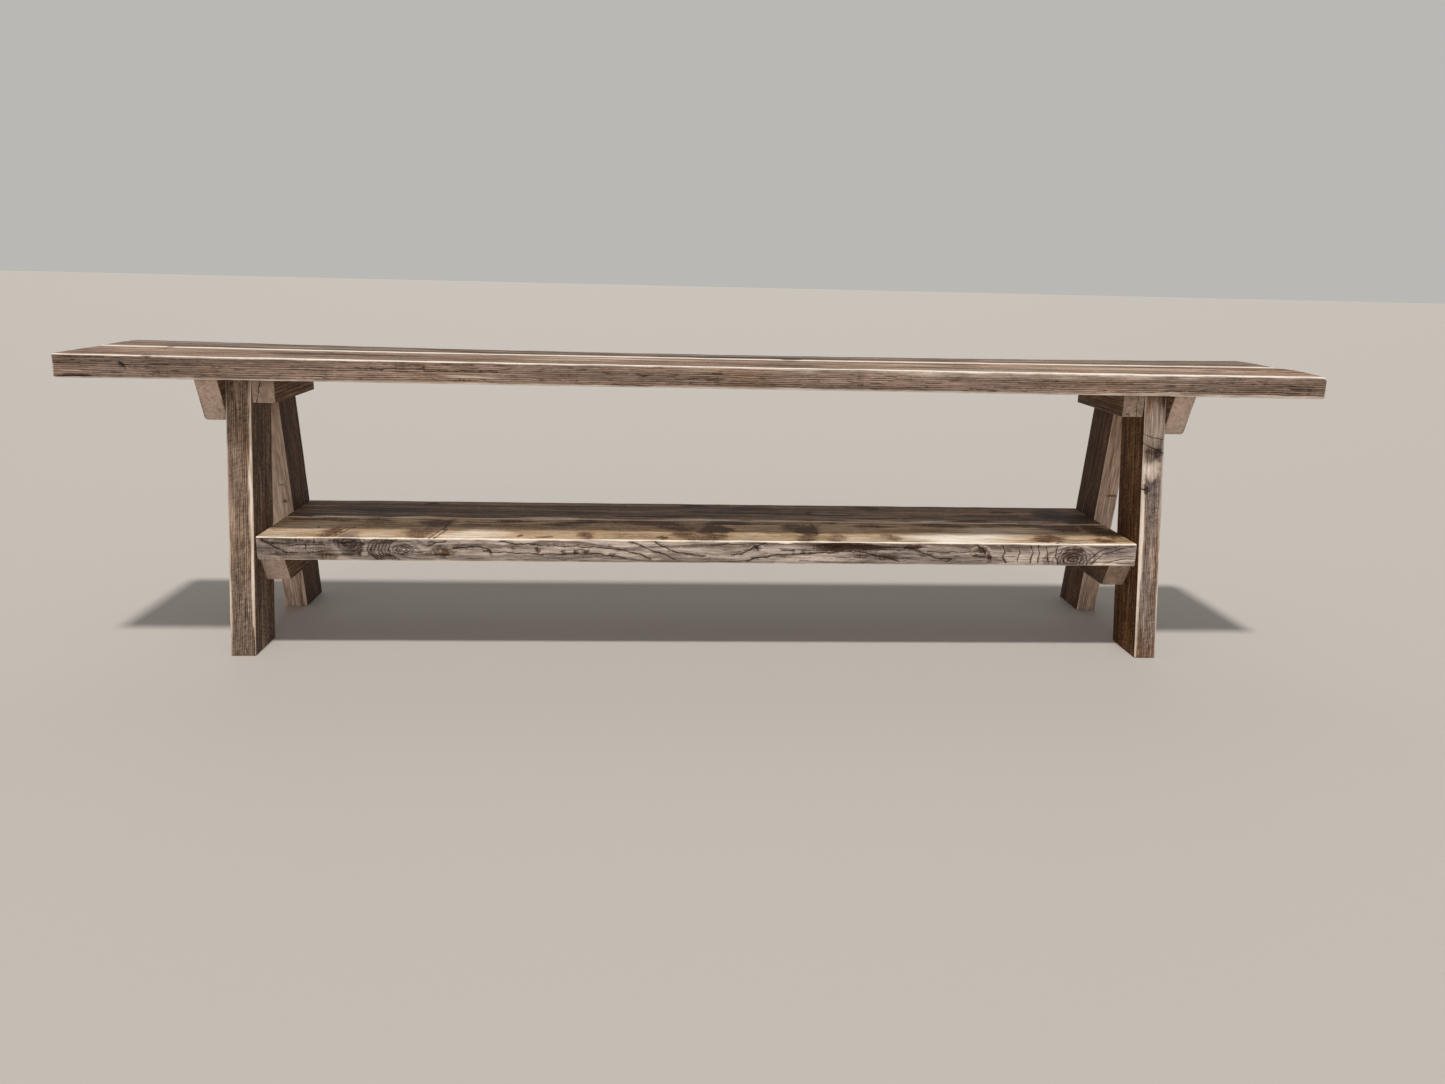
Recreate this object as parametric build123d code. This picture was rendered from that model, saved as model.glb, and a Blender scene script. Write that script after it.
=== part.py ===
"""A long low bench of sawn softwood: a plank seat and a plank shelf on splayed plank legs.

X runs along the bench, Y from its front to its back and Z up. The origin is on the floor, midway
between the feet. Each end has one pair of legs. Cleats screwed to the legs carry the boards, and every
screw is driven from below or from the end, so that none shows on the seat, the shelf or the front.
"""

from build123d import *
import os

# Seat: two boards side by side, lying on the legs and on the cleats at both ends. Sizes in millimetres.
seat_length = 1800
seat_height = 428
seat_board_thickness = 35
seat_crown = 2
front_seat_board_width = 134
back_seat_board_width = 119
seat_set_forward = 4

# Shelf: two boards between the legs
shelf_height = 170
shelf_board_thickness = 35
front_shelf_board_width = 128
back_shelf_board_width = 121
shelf_end_gap = 0.5

# Both pairs of boards
board_joint = 1
worn_arris = 5
lower_arris = 3
board_end_arris = 1.8

# Legs: planks on edge, cut level at the floor and under the seat. Their width is measured level, and
# their inset from the seat's ends to their inner faces. The left pair is cut from thicker stuff.
left_leg_thickness = 36
right_leg_thickness = 33
leg_width = 82
foot_spread = 316
leg_top_gap = 12
leg_inset = 249.5
leg_frames_shift = -1.5

# Cleats: their top ends are measured from the legs' outer edges at the same height
seat_cleat_thickness = 32
shelf_cleat_thickness = 35
outer_cleat_height = 61
outer_cleat_reach = 29
outer_cleat_setback = 28
outer_cleat_corner = 5
inner_cleat_height = 36
inner_cleat_reach = 1
shelf_cleat_height = 39
shelf_cleat_inset = 20
shelf_cleat_setback = 22
sawn_arris = 1.2

# Screws: countersunk wood screws with a cross recess. A bite is how deep one goes into its last piece.
screw_diameter = 5
screw_head_diameter = 10
screw_head_rim = 0.6
screw_tip_length = 7
recess_span = 5.2
recess_width = 1.3
recess_depth = 2.4
head_sink = 0.8
screw_clearance = 0.2
tip_clearance = 1
seat_bite = 19
shelf_bite = 21
leg_bite = 25
leg_screw_spread = 28
shelf_screw_spread = 24
seat_screw_step = 14
joint_screw_margin = 18
cut_overrun = 5

# Worked out from the sizes above
seat_underside = seat_height - seat_board_thickness
shelf_underside = shelf_height - shelf_board_thickness
seat_depth = front_seat_board_width + board_joint + back_seat_board_width
shelf_depth = front_shelf_board_width + board_joint + back_shelf_board_width
seat_front = -seat_depth / 2 - seat_set_forward
shelf_front = -shelf_depth / 2
seat_joint = seat_front + front_seat_board_width + board_joint / 2
leg_span = seat_length - 2 * leg_inset
shelf_joint = shelf_front + front_shelf_board_width + board_joint / 2


def leg_edge(height):
    """Distance from the bench's middle to a leg's outer edge at this height, closing evenly upwards."""
    foot = foot_spread / 2
    top = leg_top_gap / 2 + leg_width
    return foot + (top - foot) * height / seat_underside


def board(length, front, width, underside, thickness, crown):
    """A board along X, flat below and arched by its crown above, with its long arrises worn round."""
    back = front + width
    side = underside + thickness - crown
    lower = Polyline((front, side), (front, underside), (back, underside), (back, side))
    if crown:
        upper = ThreePointArc((back, side), (front + width / 2, side + crown), (front, side))
    else:
        upper = Line((back, side), (front, side))
    plank = extrude(Plane.YZ * make_face(lower + upper), length / 2, both=True)
    heights = plank.edges().filter_by(Axis.X).group_by(Axis.Z)
    plank = fillet(heights[-1], worn_arris)
    plank = fillet(plank.edges().filter_by(Axis.X).group_by(Axis.Z)[0], lower_arris)
    ends = plank.faces().filter_by(Plane.YZ)
    return fillet(ends.edges(), board_end_arris)


def sawn_piece(outline, inner_face, side, thickness):
    """A sawn piece with this outline in Y and Z, its thickness running outwards from inner_face."""
    face = Plane.YZ.offset(inner_face) * make_face(Polyline(*outline, close=True))
    return extrude(face, side * thickness)


def leg(inner_face, side, edge, thickness):
    """A splayed leg, edge being -1 for the front one of a pair and 1 for the back one."""
    foot, top = leg_edge(0), leg_edge(seat_underside)
    outline = [
        (edge * foot, 0),
        (edge * (foot - leg_width), 0),
        (edge * (top - leg_width), seat_underside),
        (edge * top, seat_underside),
    ]
    blank = sawn_piece(outline, inner_face, side, thickness)
    return fillet(blank.edges(), sawn_arris)


def cleat(inner_face, side, thickness, top, height, half_length, setback, corner=0):
    """A cleat across a pair of legs, its ends set back towards the bottom, with round lower corners if asked."""
    outline = [
        (-half_length, top),
        (half_length, top),
        (half_length - setback, top - height),
        (setback - half_length, top - height),
    ]
    blank = sawn_piece(outline, inner_face, side, thickness)
    if corner:
        blank = fillet(blank.edges().filter_by(Axis.X).group_by(Axis.Z)[0], corner)
    return fillet(blank.edges(), sawn_arris)


def screw_shape(length, room=0, tip_room=0):
    """A countersunk screw pointing up, its head's top at zero, grown by room and tip_room for its hole."""
    head = screw_head_diameter / 2 + room
    shank = screw_diameter / 2 + room
    neck = screw_head_rim + head - shank
    outline = [(0, 0), (head, 0), (head, screw_head_rim), (shank, neck)]
    outline += [(shank, length - screw_tip_length + tip_room), (0, length + tip_room)]
    return revolve(Plane.XZ * make_face(Polyline(*outline, close=True)), Axis.Z)


def screw(length):
    """The screw itself, with its cross recess."""
    body = screw_shape(length)
    floor_up = (Align.CENTER, Align.CENTER, Align.MIN)
    for slot in (Box(recess_span, recess_width, recess_depth, align=floor_up),
                 Box(recess_width, recess_span, recess_depth, align=floor_up)):
        body -= slot
    return body


def screw_hole(length):
    """The hole that holds the screw: its own shape with clearance, and the sinking above its head."""
    sinking = Cylinder(
        screw_head_diameter / 2 + screw_clearance,
        head_sink + cut_overrun,
        align=(Align.CENTER, Align.CENTER, Align.MAX),
    )
    return screw_shape(length, screw_clearance, tip_clearance) + sinking


pieces = {
    "front_seat_board": board(
        seat_length, seat_front, front_seat_board_width, seat_underside, seat_board_thickness, seat_crown
    ),
    "back_seat_board": board(
        seat_length,
        seat_front + front_seat_board_width + board_joint,
        back_seat_board_width,
        seat_underside,
        seat_board_thickness,
        seat_crown,
    ),
}
shelf_length = leg_span - 2 * shelf_end_gap
for name, front, width in (
    ("front_shelf_board", shelf_front, front_shelf_board_width),
    ("back_shelf_board", shelf_front + front_shelf_board_width + board_joint, back_shelf_board_width),
):
    plank = board(shelf_length, front, width, shelf_underside, shelf_board_thickness, 0)
    pieces[name] = Pos(leg_frames_shift, 0, 0) * plank

screw_sets = {}


def drive(name, length, places, direction, through):
    """Screws of one length at these places, with their holes cut in the pieces that they pass or end in."""
    aim = [Plane(origin=place, z_dir=direction).location for place in places]
    screw_sets[name] = [at * screw(length) for at in aim]
    for node in through:
        for at in aim:
            pieces[node] -= at * screw_hole(length)


def board_screw_places(x, z, outer, joint):
    """Two screws a board: one at outer from the middle, the other beside the joint."""
    return [(x, y, z) for y in (-outer, joint - joint_screw_margin, joint + joint_screw_margin, outer)]


for end, side, leg_thickness in (("left", -1, left_leg_thickness), ("right", 1, right_leg_thickness)):
    inner_face = leg_frames_shift + side * leg_span / 2
    outer_face = inner_face + side * leg_thickness
    for edge_name, edge in (("front", -1), ("back", 1)):
        pieces[f"{end}_{edge_name}_leg"] = leg(inner_face, side, edge, leg_thickness)

    top_edge = leg_edge(seat_underside)
    outer_cleat = f"{end}_outer_seat_cleat"
    inner_cleat = f"{end}_inner_seat_cleat"
    shelf_cleat = f"{end}_shelf_cleat"
    pieces[outer_cleat] = cleat(
        outer_face,
        side,
        seat_cleat_thickness,
        seat_underside,
        outer_cleat_height,
        top_edge + outer_cleat_reach,
        outer_cleat_setback,
        outer_cleat_corner,
    )
    pieces[inner_cleat] = cleat(
        inner_face,
        -side,
        seat_cleat_thickness,
        seat_underside,
        inner_cleat_height,
        top_edge + inner_cleat_reach,
        0,
    )
    shelf_cleat_half = leg_edge(shelf_underside) - shelf_cleat_inset
    pieces[shelf_cleat] = cleat(
        inner_face,
        -side,
        shelf_cleat_thickness,
        shelf_underside,
        shelf_cleat_height,
        shelf_cleat_half,
        shelf_cleat_setback,
    )

    legs = [f"{end}_front_leg", f"{end}_back_leg"]
    seat_boards = ["front_seat_board", "back_seat_board"]
    shelf_boards = ["front_shelf_board", "back_shelf_board"]

    # Through the outer cleat and a leg into the inner cleat, two to a leg
    leg_screw_height = seat_underside - inner_cleat_height / 2
    leg_middle = leg_edge(leg_screw_height) - leg_width / 2
    leg_screw_offsets = [leg_middle - leg_screw_spread / 2, leg_middle + leg_screw_spread / 2]
    head_x = outer_face + side * (seat_cleat_thickness - head_sink)
    places = [(head_x, edge * y, leg_screw_height) for edge in (-1, 1) for y in leg_screw_offsets]
    drive(
        f"{end}_leg_top_screws",
        seat_cleat_thickness + leg_thickness + leg_bite - head_sink,
        places,
        (-side, 0, 0),
        [outer_cleat, *legs, inner_cleat],
    )

    # Up through the seat's two cleats into the boards
    board_screw_offset = leg_middle + leg_screw_spread / 2 + seat_screw_step
    for cleat_name, x, height in (
        (outer_cleat, outer_face + side * seat_cleat_thickness / 2, outer_cleat_height),
        (inner_cleat, inner_face - side * seat_cleat_thickness / 2, inner_cleat_height),
    ):
        drive(
            f"{cleat_name}_screws",
            height + seat_bite - head_sink,
            board_screw_places(x, seat_underside - height + head_sink, board_screw_offset, seat_joint),
            (0, 0, 1),
            [cleat_name, *seat_boards],
        )

    # Through a leg into the shelf cleat, two to a leg, where the two lie against each other
    shelf_screw_height = shelf_underside - shelf_cleat_height / 2
    cleat_end = shelf_cleat_half - shelf_cleat_setback / 2
    leg_back_edge = leg_edge(shelf_screw_height) - leg_width
    lap_middle = (cleat_end + leg_back_edge) / 2
    lap_offsets = [lap_middle - shelf_screw_spread / 2, lap_middle + shelf_screw_spread / 2]
    head_x = outer_face - side * head_sink
    drive(
        f"{end}_leg_shelf_screws",
        leg_thickness + leg_bite - head_sink,
        [(head_x, edge * y, shelf_screw_height) for edge in (-1, 1) for y in lap_offsets],
        (-side, 0, 0),
        [*legs, shelf_cleat],
    )

    # Up through the shelf cleat into the shelf boards
    drive(
        f"{shelf_cleat}_screws",
        shelf_cleat_height + shelf_bite - head_sink,
        board_screw_places(
            inner_face - side * shelf_cleat_thickness / 2,
            shelf_underside - shelf_cleat_height + head_sink,
            lap_middle,
            shelf_joint,
        ),
        (0, 0, 1),
        [shelf_cleat, *shelf_boards],
    )

os.makedirs("parts", exist_ok=True)
for name, piece in pieces.items():
    export_step(piece, f"parts/{name}.step")
for name, screws in screw_sets.items():
    export_step(Compound(children=screws), f"parts/{name}.step")
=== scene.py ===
"""The looks of a long low bench of reclaimed softwood: a plank seat and a plank shelf on splayed legs.

Metres throughout, X along the bench, Y from front to back, Z up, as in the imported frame. The sections
are the legs, the cleats, the screws, the shelf, the seat and the stage. Marks on a face are placed in
millimetres from that face's own corner.
"""

import bpy
import numpy as np
from mathutils import Matrix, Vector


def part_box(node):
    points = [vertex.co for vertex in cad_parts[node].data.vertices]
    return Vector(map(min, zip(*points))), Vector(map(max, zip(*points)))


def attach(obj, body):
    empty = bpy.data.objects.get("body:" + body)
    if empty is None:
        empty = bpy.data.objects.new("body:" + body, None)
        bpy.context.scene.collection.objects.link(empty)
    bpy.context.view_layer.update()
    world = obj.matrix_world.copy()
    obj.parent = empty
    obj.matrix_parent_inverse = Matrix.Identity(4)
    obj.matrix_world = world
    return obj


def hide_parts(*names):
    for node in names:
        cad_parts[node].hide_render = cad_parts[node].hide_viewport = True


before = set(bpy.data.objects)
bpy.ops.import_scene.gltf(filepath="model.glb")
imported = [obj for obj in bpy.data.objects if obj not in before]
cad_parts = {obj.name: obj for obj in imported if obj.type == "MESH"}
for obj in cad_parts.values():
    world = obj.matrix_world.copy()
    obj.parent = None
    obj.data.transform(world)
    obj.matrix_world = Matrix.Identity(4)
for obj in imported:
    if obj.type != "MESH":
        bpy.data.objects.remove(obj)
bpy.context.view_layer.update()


# LEGS
# Four planks on edge, sawn from old softwood, their narrow edges to the front and the back. They are cut
# level at the foot and under the seat, lean towards each other, and their arrises are sanded round.
MM = 0.001
leg_width = 82 * MM
leg_arris = 2.6 * MM
leg_end_arris = 1.4 * MM
leg_wear = 0.35 * MM
leg_ring_width = 2.3 * MM
crack_depth = 0.6 * MM
# The steps of the mesh along, across and through a leg, and the tangents of its turns over an arris
leg_steps = (2.6 * MM, 2.6 * MM, 1.6 * MM)
arris_turns = np.tan(np.radians([15, 30, 45]))
screw_head_radius = 5 * MM
# How far the second screw of each pair lies from the first
lap_screw_gaps = {"top": 28 * MM, "shelf": 24 * MM}
# Half the side of the square that a screw's pocket takes in the mesh, and the radius and depth of each of
# its rings, from its mouth to its floor
pocket_reach = 6 * MM
pocket_rings = [(5.5 * MM, 0), (5.2 * MM, 0.3 * MM), (5.2 * MM, 1.5 * MM),
                (2.7 * MM, 4 * MM), (2.7 * MM, 6 * MM)]


def lap_screws(end, part):
    """The middles of the heads of the four screws that cross the legs at one end, outermost first in each
    pair: halfway up their node's box, one head's radius in from its ends, and a gap further in."""
    low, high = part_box(f"{end}_leg_{part}_screws")
    outer = high.y - screw_head_radius
    x, z = low.x if end == "left" else high.x, (low.z + high.z) / 2
    return [(x, edge * (outer - gap), z) for edge in (-1, 1) for gap in (0, lap_screw_gaps[part])]


def even(stops, step):
    """Places from the first stop to the last through every stop, evenly spread about a step apart."""
    spans = []
    for start, end in zip(stops, stops[1:]):
        count = max(1, round((end - start) / step))
        spans.append(np.linspace(start, end, count, endpoint=False))
    return np.append(np.concatenate(spans), stops[-1])


def lattice_axis(flat, step, stops):
    """Ticks along one axis of a timber: places along its flat, and one for each turn over an arris.
    The second list is the tangent of the turn: nought on the flat, and one at the corner's 45 degrees."""
    place = even([-flat, *sorted(stops), flat], step)
    edge = np.full(len(arris_turns), flat)
    tangent = np.concatenate([-arris_turns[::-1], np.zeros(len(place)), arris_turns])
    return np.concatenate([-edge, place, edge]), tangent


def nearest_tick(place, target):
    """The number of the tick, of those on the flat, whose place has the least distance from the target."""
    turns = len(arris_turns)
    return int(np.argmin(np.abs(place[turns:-turns] - target))) + turns


def square_loop(size):
    """Steps round a square of lattice cells, size cells each way from its middle: a clipped zigzag wave,
    and the same wave a quarter of the way round."""
    turn = np.arange(8 * size)
    lagged = [(turn - lag) % (8 * size) - 4 * size for lag in (0, 2 * size)]
    return tuple(np.clip(2 * size - np.abs(wave), -size, size) for wave in lagged)


def timber(box, axes, steps, arris, end_arris, seed, pockets=(), extra=()):
    """A rounded box as the outside of a lattice: its places, outward directions and faces.
    Each point is a core point plus the arris radius times its direction, which is the three tangents scaled
    to unit length. The radius wanders by a third along the timber. axes holds the directions along,
    across and through it, and arris the radii of its four long arrises, by side across and side through.
    A pocket has an axis, a side, 0 or -1 for the low or the high one, and a place. There a square of cells
    gives way to rings: the centre plus a radius times cosine and sine. The lattice also has lines at the
    extra places along the timber."""
    axes = np.array(axes, float)
    low, high = (np.array(corner, float) for corner in box)
    centre, half = (low + high) / 2, np.abs(axes @ (high - low)) / 2
    nominal = np.array([end_arris, np.max(arris), np.max(arris)])
    stops = [set(np.array(extra) - axes[0] @ centre), set(), set()]
    holes = []
    for axis, side, place in pockets:
        at = axes @ (np.array(place) - centre)
        others = [n for n in range(3) if n != axis]
        holes.append((axis, side, others, at[others]))
        for n in others:
            stops[n] |= {round(at[n] + reach, 6) for reach in (-pocket_reach, 0, pocket_reach)}
    ticks = [lattice_axis(half[n] - nominal[n], steps[n], stops[n]) for n in range(3)]

    shape = tuple(len(place) for place, _ in ticks)
    index = np.indices(shape).reshape(3, -1)
    outside = ((index == 0) | (index == np.array(shape)[:, None] - 1)).any(0)
    number = np.full(shape, -1)
    number.ravel()[outside] = np.arange(outside.sum())
    index = index[:, outside]
    core = np.stack([ticks[n][0][index[n]] for n in range(3)], 1)
    way = np.stack([ticks[n][1][index[n]] for n in range(3)], 1)
    way /= np.linalg.norm(way, axis=1)[:, None]
    radius = np.array(arris)[(core[:, 1] > 0).astype(int), (core[:, 2] > 0).astype(int)]
    radius = radius * (0.67 + 0.33 * ripple(core, seed, (0.15, 0.15, 0.15)))
    reach = np.stack([np.full(len(core), end_arris), radius, radius], 1)
    places, ways = [core / (half - nominal) * (half - reach) + way * reach], [way]

    faces, floors, total = [], [], len(core)
    for axis in range(3):
        for side in (0, -1):
            sheet = np.take(number, side, axis)
            quads = np.stack([sheet[:-1, :-1], sheet[1:, :-1], sheet[1:, 1:], sheet[:-1, 1:]], -1)
            winding = -1 if (axis == 1) != (side == 0) else 1
            keep = np.ones(quads.shape[:2], bool)
            for _, _, others, at in [hole for hole in holes if hole[:2] == (axis, side)]:
                middle = [nearest_tick(ticks[n][0], target) for n, target in zip(others, at)]
                size = middle[0] - nearest_tick(ticks[others[0]][0], at[0] - pocket_reach)
                keep[middle[0] - size:middle[0] + size, middle[1] - size:middle[1] + size] = False
                loop = square_loop(size)
                ring = sheet[middle[0] + loop[0], middle[1] + loop[1]]
                angle = np.arctan2(loop[1], loop[0])
                outward = np.zeros((len(angle), 3))
                outward[:, axis] = 1 if side else -1
                for pocket_radius, depth in pocket_rings:
                    points = outward * (half[axis] - depth)
                    points[:, others] = at + pocket_radius * np.stack([np.cos(angle), np.sin(angle)], 1)
                    inner = total + np.arange(len(angle))
                    total += len(angle)
                    places.append(points)
                    ways.append(outward)
                    band = np.stack([ring, np.roll(ring, -1), np.roll(inner, -1), inner], 1)
                    faces.append(band[:, ::winding])
                    ring = inner
                floors.append(ring[::winding])
            faces.append(quads[keep][:, ::winding])
    faces = np.concatenate(faces)
    if np.linalg.det(axes) < 0:
        faces, floors = faces[:, ::-1], [floor[::-1] for floor in floors]
    faces = faces.tolist() + [floor.tolist() for floor in floors]
    return centre + np.concatenate(places) @ axes, np.concatenate(ways) @ axes, faces


def ripple(place, seed, sizes):
    """Uneven as hand-worked wood: a half plus an eighth of the sum of eight sine waves of random direction
    and about these lengths, held from 0 to 1."""
    random = np.random.default_rng(seed)
    total = np.zeros(len(place))
    for _ in range(8):
        wave = random.normal(size=3) * 2 * np.pi / np.array(sizes)
        total += np.sin(place @ wave + random.uniform(0, 2 * np.pi))
    return np.clip(0.5 + total / 8, 0, 1)


def spots(a, b, marks):
    """Soft ovals: the highest of strength times exp of minus the fourth power of distance over half size.
    Sines of the place over the half size move their outlines in and out by up to a quarter of it."""
    total = np.zeros(len(a))
    for a0, b0, half_a, half_b, strength in marks:
        u, v = (a / MM - a0) / half_a, (b / MM - b0) / half_b
        far_a = u + 0.15 * np.sin(4.1 * v + a0) + 0.09 * np.sin(9.7 * v + 3.1 * u + b0)
        far_b = v + 0.15 * np.sin(3.7 * u + a0) + 0.09 * np.sin(8.9 * u - 2.3 * v + b0)
        total = np.maximum(total, strength * np.exp(-(far_a ** 2 + far_b ** 2) ** 2))
    return total


# The soft rim of a line in millimetres, and how far beside is where no line is near
soft_rim = 0.8
far_beside = 9.0


def strokes(a, b, lines):
    """Bent lines, each given by its half width and its points: how near the nearest is, and how far beside.
    Near is exp of minus the square of the distance over the half width and a soft rim, and beside is the
    distance over the half width, below nought on the line's right. Sines of the place make the line waver
    by up to a millimetre, and swell and thin by a third."""
    near, beside = np.zeros(len(a)), np.full(len(a), far_beside)
    a, b = a / MM, b / MM
    here_a = a + 0.5 * np.sin(0.36 * b + 0.02 * a)
    here_b = b + 0.6 * np.sin(0.19 * a) + 0.25 * np.sin(0.53 * a)
    here = np.stack([here_a, here_b], 1)
    swell = 1 + 0.35 * np.sin(0.14 * a + 0.26 * b) * np.sin(0.37 * a - 0.11 * b)
    for half, *points in lines:
        for start, end in zip(np.array(points, float), np.array(points[1:], float)):
            run = end - start
            along = np.clip((here - start) @ run / (run @ run), 0, 1)
            gap = here - start - along[:, None] * run
            distance = np.hypot(gap[:, 0], gap[:, 1])
            nearness = np.exp(-(distance / (half + soft_rim)) ** 2)
            side = np.where(run[0] * gap[:, 1] < run[1] * gap[:, 0], -1, 1)
            closer = nearness > near
            near[closer] = nearness[closer]
            beside[closer] = (side * distance / (half * swell))[closer]
    return near, beside


def turned(ways, first, second):
    """How far a direction has turned from one axis to another: the lesser of its shares along the two times
    root two, which is 1 at 45 degrees."""
    return np.minimum(np.abs(ways[:, first]), np.abs(ways[:, second])) * 2 ** 0.5


def towards(ways, axis, side):
    """How far a direction points to one side: 1.4 times its share that way, held from 0 to 1."""
    return np.clip(1.4 * side * ways[:, axis], 0, 1)


def solid_piece(node, places, faces, material, finish):
    """A smooth mesh in place of its node, with the finish as attributes that its material reads."""
    mesh = bpy.data.meshes.new(node + "_looks")
    mesh.from_pydata(places, [], faces)
    mesh.polygons.foreach_set("use_smooth", np.ones(len(mesh.polygons), bool))
    for key, values in finish.items():
        layer = mesh.attributes.new(key, "FLOAT", "POINT")
        layer.data.foreach_set("value", np.asarray(values, np.float32))
    mesh.update()
    mesh.materials.append(material)
    piece = bpy.data.objects.new(node + "_looks", mesh)
    bpy.context.scene.collection.objects.link(piece)
    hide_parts(node)
    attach(piece, "root")


def colour(code):
    """A colour written as six hexadecimal digits, as Blender's linear one."""
    parts = np.array([int(code[n:n + 2], 16) for n in (0, 2, 4)]) / 255
    linear = np.where(parts > 0.04045, ((parts + 0.055) / 1.055) ** 2.4, parts / 12.92)
    return (*linear.tolist(), 1)


def node_adder(tree):
    """A function that adds one node: its kind, its inputs by name or number, and which output it gives."""
    def add(kind, inputs, out=0, **settings):
        node = tree.nodes.new("ShaderNode" + kind)
        for key, value in settings.items():
            setattr(node, key, value)
        for key, value in inputs.items():
            if isinstance(value, bpy.types.NodeSocket):
                tree.links.new(value, node.inputs[key])
            else:
                node.inputs[key].default_value = value
        return node.outputs[out] if node.outputs else node
    return add


def new_material(name):
    """A material without nodes, and the function that adds them."""
    material = bpy.data.materials.new(name)
    material.use_nodes = True
    material.node_tree.nodes.clear()
    return material, node_adder(material.node_tree)


# The direction and the fineness of the marks that a saw leaves across the grain
saw_tilt = (0.0, -0.4, 0.3)
saw_stretch = (400, 110, 110)


def old_softwood(name, grain, heart, ring_width, tones, knots=(), warp=1.0, saw=0.0, bands=1.0,
                 streaks=1.0, dots=1.0):
    """Old softwood as a solid texture: growth rings about a heart line. The growth is the distance from it,
    after a wide sweep and a fine shake have bent the place, and its fraction over the ring width is dark
    late wood towards its end. grain holds the directions along and across the timber, and heart the heart
    line's place across and through it. A knot has rings of its own, the distance from its middle scaled
    each way and more towards one side, and a smooth minimum joins them to the rest.
    Over the rings lie, in this order, greying, dashes and flecks, bands, saw marks, sanded wear with
    painted light, stains with painted shade, the knots' dark cores, streaks and fibres, near-white arrises
    with a painted highlight, and cracks. The mesh's attributes place the greying, the wear and painted
    light, the stains and painted shade, and the cracks. The last five values are strengths."""
    material, add = new_material(name)
    tone = {part: colour(code) for part, code in tones.items()}

    # Short names for nodes: sums with numbers and with vectors, a smooth step, a noise by how often it
    # changes in a metre each way, an attribute of the mesh, a mix, and the wood times a step in grey
    def math(operation, a, b=0.0, c=0.0):
        return add("Math", {0: a, 1: b, 2: c}, operation=operation)

    def vector(operation, a, b=(0, 0, 0), out=0):
        return add("VectorMath", {0: a, 1: b}, out, operation=operation)

    def ramp(value, low, high, to_low=0.0, to_high=1.0):
        sockets = {0: value, 1: low, 2: high, 3: to_low, 4: to_high}
        return add("MapRange", sockets, interpolation_type="SMOOTHSTEP")

    def noise(stretch, detail=2.0, rough=0.5, out=0):
        scaled = vector("MULTIPLY", place, stretch)
        return add("TexNoise", {"Vector": scaled, "Scale": 1.0, "Detail": detail, "Roughness": rough}, out)

    def attribute(key):
        return add("Attribute", {}, 2, attribute_name=key)

    def mix(factor, a, b, blend="MIX"):
        return add("Mix", {0: factor, 6: a, 7: b}, 2, data_type="RGBA", blend_type=blend)

    def shade(wood, value, low, high, darkest, palest):
        return mix(1.0, wood, ramp(value, low, high, darkest, palest), "MULTIPLY")

    # The bent place and the growth, with the knots
    along, across = (np.array(way, float) / np.linalg.norm(way) for way in grain)
    turn = Matrix((along, across, np.cross(along, across)))
    place = add("Mapping", {"Vector": add("TexCoord", {}, 3), "Rotation": turn.to_euler()})
    sweep = vector("SUBTRACT", noise((3.1, 17, 17), 2.0, 0.5, 1), (0.5, 0.5, 0.5))
    shake = vector("SUBTRACT", noise((13, 120, 120), 2.0, 0.6, 1), (0.5, 0.5, 0.5))
    bent = vector("ADD", place, vector("MULTIPLY", sweep, (0.03 * warp, 0.013 * warp, 0.013 * warp)))
    bent = vector("ADD", bent, vector("MULTIPLY", shake, (0.006, 0.0016, 0.0016)))
    off_heart = vector("MULTIPLY", vector("SUBTRACT", bent, (0, *heart)), (0, 1, 1))
    growth = vector("LENGTH", off_heart, out=1)
    heartwood = None
    for centre, squash, lean, reach, tightness, core, darkness in knots:
        at = np.array(turn) @ np.array(centre)
        stem = float(np.hypot(at[1] - heart[0], at[2] - heart[1]))
        off = vector("SUBTRACT", bent, tuple(at))
        scaled, size = vector("MULTIPLY", off, squash), vector("ABSOLUTE", off)
        off = vector("ADD", scaled, vector("MULTIPLY", size, lean))
        far = vector("LENGTH", off, out=1)
        own = math("MULTIPLY_ADD", far, tightness, stem - tightness * reach)
        growth = math("SMOOTH_MIN", growth, own, 0.45 * reach)
        dark = ramp(far, core, 0.6 * core, 0.0, darkness)
        heartwood = dark if heartwood is None else math("MAXIMUM", heartwood, dark)

    # The late wood of each year, weaker in some years and places
    years = math("DIVIDE", growth, ring_width)
    ring = math("FRACT", years)
    year = add("TexWhiteNoise", {"W": math("FLOOR", years)}, noise_dimensions="1D")
    late = math("MULTIPLY", ramp(ring, 0.35, 0.75), ramp(ring, 1.0, 0.9))
    late = math("MULTIPLY", late, ramp(noise((4, 36, 36)), 0.34, 0.5, 0.6, 1.0))
    late = math("MULTIPLY", late, ramp(year, 0.0, 0.8, 0.4, 1.0))

    # What is uneven, from broad to fine, and three noises that fray the marks' outlines
    streak = noise((22, 330, 330), 3.0, 0.62)
    fibre = noise((50, 900, 900), 2.0, 0.6)
    dash = ramp(noise((48, 430, 430), 2.0, 0.62), 0.55, 0.67)
    fleck = ramp(noise((95, 520, 520), 2.0, 0.6), 0.57, 0.7)
    band = noise((1.9, 46, 46), 3.0, 0.6)
    blotch = noise((7, 30, 30), 4.0, 0.62)
    ragged = math("SUBTRACT", noise((50, 330, 330), 4.0, 0.7), 0.5)
    mottled = math("SUBTRACT", noise((330, 120, 120), 4.0, 0.75), 0.5)
    drawn_out = math("SUBTRACT", noise((13, 170, 170), 3.0, 0.65), 0.5)

    # A smooth step of an attribute of the mesh, frayed by noises
    def marked(key, low, high, *frays):
        value = attribute(key)
        for amount, uneven in frays:
            value = math("MULTIPLY_ADD", uneven, amount, value)
        return ramp(value, low, high)

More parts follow.
